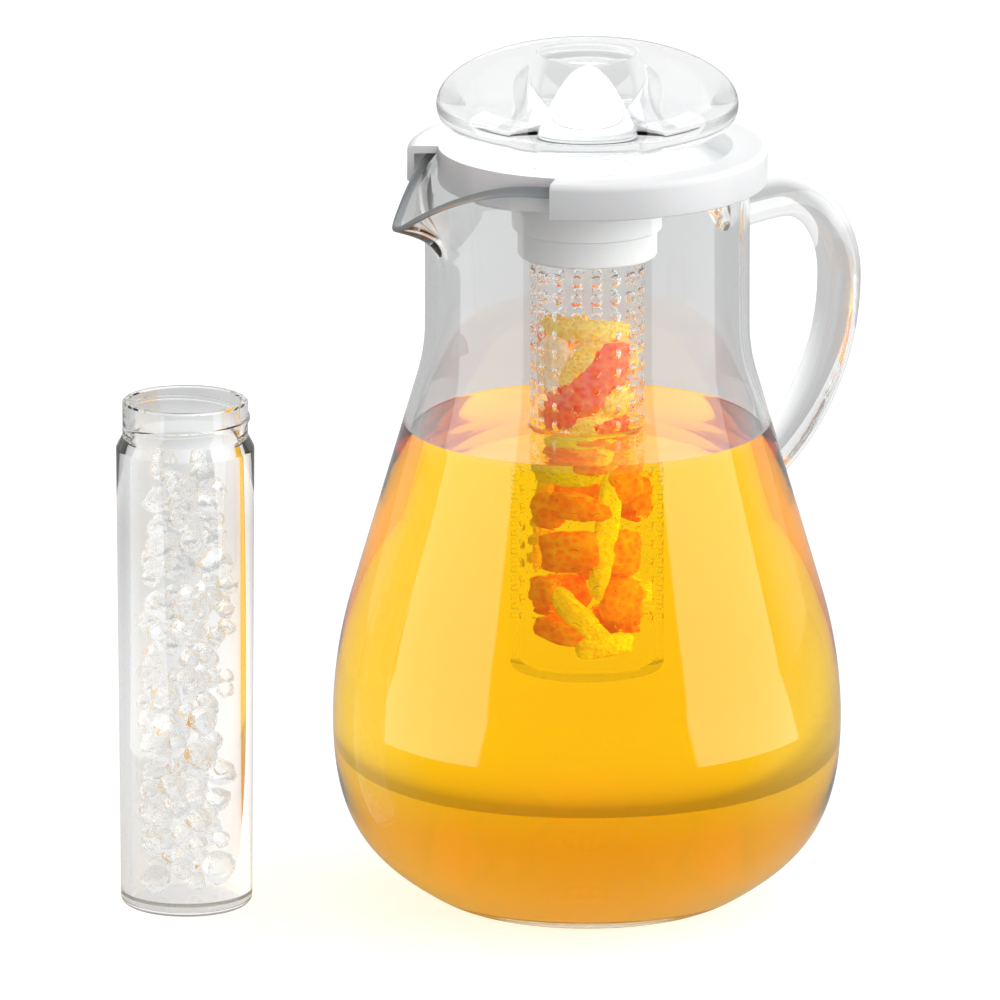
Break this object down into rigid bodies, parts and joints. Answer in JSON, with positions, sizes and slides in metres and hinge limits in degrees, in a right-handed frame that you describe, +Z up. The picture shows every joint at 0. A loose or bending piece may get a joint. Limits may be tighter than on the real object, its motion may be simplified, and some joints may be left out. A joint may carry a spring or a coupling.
{
  "type": "fruit infuser pitcher",
  "caption": "Clear jug with a handle and spout, a lift-off lid with a round knob, a perforated fruit tube that screws into the lid, and a spare closed tube for ice.",
  "frame": {"origin": "centre of the pitcher's flat foot, on the table", "axes": "+Z up; -X towards the spout, +X towards the handle"},
  "size_m": [0.2416, 0.165, 0.2827],
  "materials": {
    "clear_acrylic": "clear moulded acrylic, polished",
    "white_plastic": "white moulded polypropylene, satin gloss",
    "silicone": "soft translucent silicone"
  },
  "bodies": {
    "pitcher": {"pitcher_body": "clear_acrylic", "handle": "clear_acrylic"},
    "lid": {"lid": "white_plastic", "knob_dome": "clear_acrylic", "knob_base": "clear_acrylic", "collar": "white_plastic"},
    "washer": {"core_washer": "silicone"},
    "infuser": {"infuser_tube": "clear_acrylic"},
    "ice_tube": {"ice_tube": "clear_acrylic"}
  },
  "joints": [
    {"name": "lid_lift", "type": "slide", "parent": "pitcher", "child": "lid", "axis": [0, 0, 1], "range_m": [0, 0.19]},
    {"name": "infuser_turn", "type": "hinge", "parent": "lid", "child": "washer", "pos_m": [0, 0, 0.2268], "axis": [0, 0, 1], "range_deg": [-540, 0]},
    {"name": "infuser_travel", "type": "slide", "parent": "washer", "child": "infuser", "axis": [0, 0, 1], "range_m": [-0.009, 0]},
    {"name": "ice_tube_lift", "type": "slide", "parent": "pitcher", "child": "ice_tube", "axis": [0, 0, 1], "range_m": [0, 0.2]}
  ],
  "couplings": [
    {"joint": "infuser_travel", "follows": "infuser_turn", "m_per_rad": 0.00095493}
  ]
}
